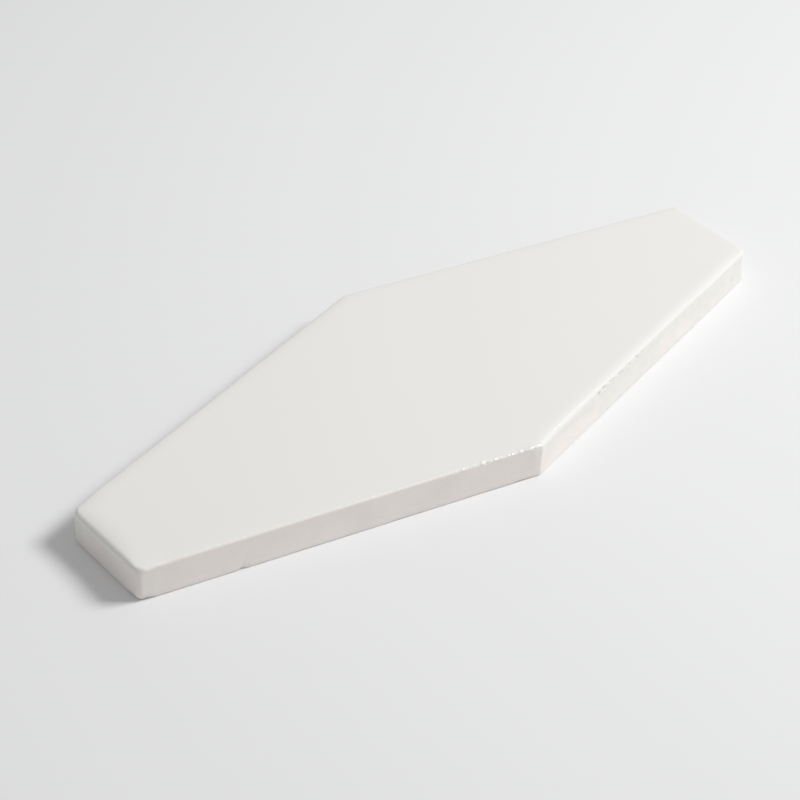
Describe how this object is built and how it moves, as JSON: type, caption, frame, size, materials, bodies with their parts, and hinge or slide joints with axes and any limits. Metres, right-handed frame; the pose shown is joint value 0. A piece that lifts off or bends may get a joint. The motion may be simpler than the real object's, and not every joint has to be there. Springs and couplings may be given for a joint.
{
  "type": "picket tile",
  "caption": "Elongated hexagonal ceramic tile with blunt ends, a glossy ivory glazed face with softened edges, bare sides and a keyed back, for cladding a wall or floor.",
  "frame": {"origin": "on the plane of the back, under the middle of the tile", "axes": "+X along the tile towards one blunt end, +Y across it, +Z out of the glazed face"},
  "size_m": [0.203, 0.0758, 0.01],
  "materials": {
    "glazed_ceramic": "gloss ivory glaze on the face and its rolled edge, matt bare body on the sides and back"
  },
  "bodies": {
    "root": {"tile": "glazed_ceramic"}
  },
  "joints": []
}
